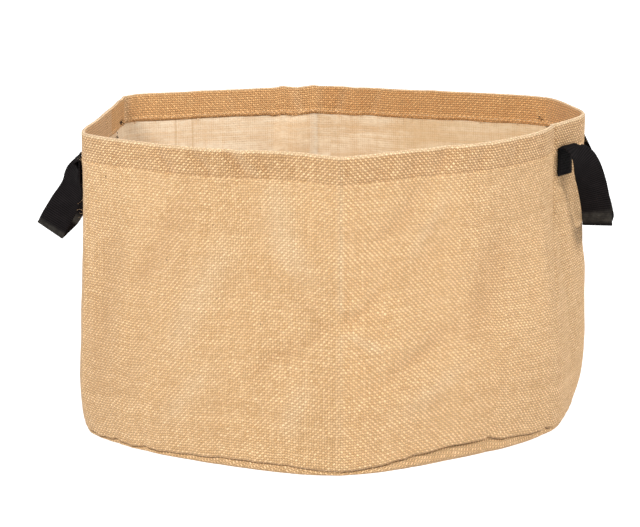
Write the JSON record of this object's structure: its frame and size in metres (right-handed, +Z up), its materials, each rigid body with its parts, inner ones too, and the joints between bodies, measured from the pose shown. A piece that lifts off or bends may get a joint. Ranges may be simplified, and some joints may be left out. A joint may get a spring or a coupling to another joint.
{
  "type": "jute grow bag",
  "caption": "Round open grow bag of coarse woven jute with a turned hem, a sewn-on round base and webbing loop handles at both sides.",
  "frame": {"origin": "centre of the bag's overall box, handles included, on the floor that the base stands on", "axes": "+Z up, -Y towards the front fold, +X towards the right handle as seen from the front"},
  "size_m": [0.5884, 0.5116, 0.302],
  "materials": {
    "jute": "coarse plain-woven jute, matt, natural tan",
    "jute_base": "coarse plain-woven jute, matt, natural tan",
    "webbing": "black ribbed webbing, matt"
  },
  "bodies": {
    "root": {"bag_wall": "jute", "bag_base": "jute_base", "handle_left": "webbing", "handle_right": "webbing"}
  },
  "joints": []
}
